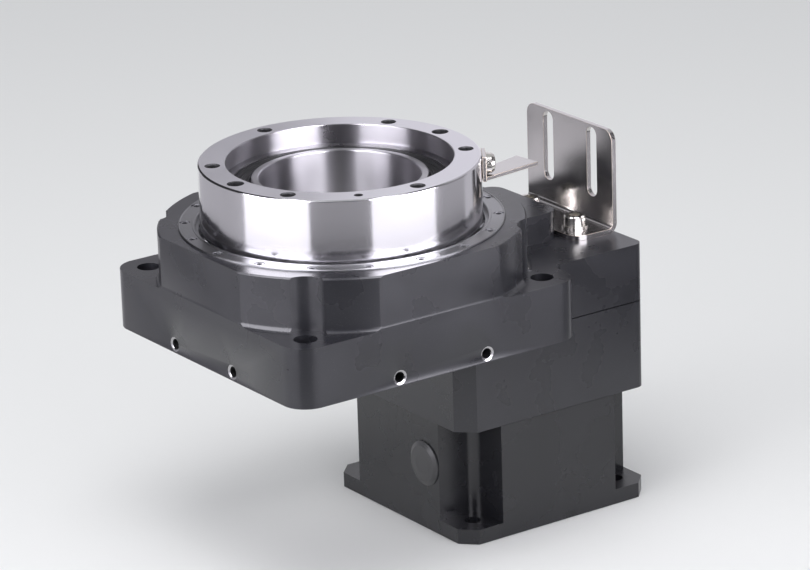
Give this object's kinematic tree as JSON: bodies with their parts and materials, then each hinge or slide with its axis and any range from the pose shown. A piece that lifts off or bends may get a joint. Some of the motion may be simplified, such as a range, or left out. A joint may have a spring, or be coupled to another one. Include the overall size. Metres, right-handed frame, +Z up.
{
  "type": "hollow rotary platform",
  "caption": "Hollow rotary indexing table: a geared turntable on a square flanged housing, with an offset motor adapter below and a home sensor flag and bracket.",
  "frame": {"origin": "centre of the four base mounting holes, on the turning axis, at the mounting face", "axes": "+Z up along the turning axis of the table; +X from that axis towards the motor adapter and pinion"},
  "size_m": [0.1775, 0.13, 0.1519],
  "materials": {
    "anodised_housing": "black anodised, fine bead blasted",
    "anodised_adapter": "black anodised, satin",
    "turned_steel": "ground and turned bright",
    "bearing_steel": "ground",
    "gear_steel": "hobbed and hardened",
    "screw_steel": "bright nickel plated",
    "black_screw_steel": "black oxide",
    "sheet_steel": "polished stainless sheet",
    "seal_rubber": "matt black",
    "plug_plastic": "satin black"
  },
  "bodies": {
    "base": {"main_housing": "anodised_housing", "gearbox_block": "anodised_housing", "motor_adapter": "anodised_adapter", "inner_sleeve": "turned_steel", "sleeve_screws": "black_screw_steel", "bearing_outer_ring_upper": "bearing_steel", "bearing_outer_ring_lower": "bearing_steel", "bearing_screws": "black_screw_steel", "gearbox_screws": "black_screw_steel", "gearbox_dowels": "bearing_steel", "pinion_bearing_outer_rings": "bearing_steel", "shaft_seal": "seal_rubber", "bearing_circlip": "black_screw_steel", "adapter_screws": "black_screw_steel", "sensor_bracket": "sheet_steel", "bracket_washers": "screw_steel", "bracket_screws": "screw_steel"},
    "table": {"output_table": "turned_steel", "sleeve_seal": "seal_rubber", "bearing_inner_ring": "bearing_steel", "table_gear": "gear_steel", "table_gear_screws": "black_screw_steel", "sensor_flag": "sheet_steel", "flag_washer": "screw_steel", "flag_screw": "screw_steel"},
    "roller_set": {"bearing_rollers": "bearing_steel"},
    "pinion": {"pinion_shaft": "gear_steel", "pinion_bearing_inner_rings": "bearing_steel", "clamp_collar": "gear_steel", "clamp_screw": "black_screw_steel"},
    "ball_sets": {"pinion_bearing_balls": "bearing_steel"},
    "plug": {"access_plug": "plug_plastic"}
  },
  "joints": [
    {"name": "table_spin", "type": "hinge", "parent": "base", "child": "table", "pos_m": [0, 0, 0.0394], "axis": [0, 0, 1], "continuous": true},
    {"name": "roller_orbit", "type": "hinge", "parent": "base", "child": "roller_set", "pos_m": [0, 0, 0.0394], "axis": [0, 0, 1], "continuous": true},
    {"name": "pinion_spin", "type": "hinge", "parent": "base", "child": "pinion", "pos_m": [0.0675, 0, 0], "axis": [0, 0, 1], "continuous": true},
    {"name": "ball_orbit", "type": "hinge", "parent": "base", "child": "ball_sets", "pos_m": [0.0675, 0, 0], "axis": [0, 0, 1], "continuous": true},
    {"name": "plug_pull", "type": "slide", "parent": "base", "child": "plug", "axis": [-1, 0, 0], "range_m": [0, 0.014]}
  ],
  "couplings": [
    {"joint": "pinion_spin", "follows": "table_spin", "ratio": -5},
    {"joint": "roller_orbit", "follows": "table_spin", "ratio": 0.4804},
    {"joint": "ball_orbit", "follows": "table_spin", "ratio": -2}
  ]
}
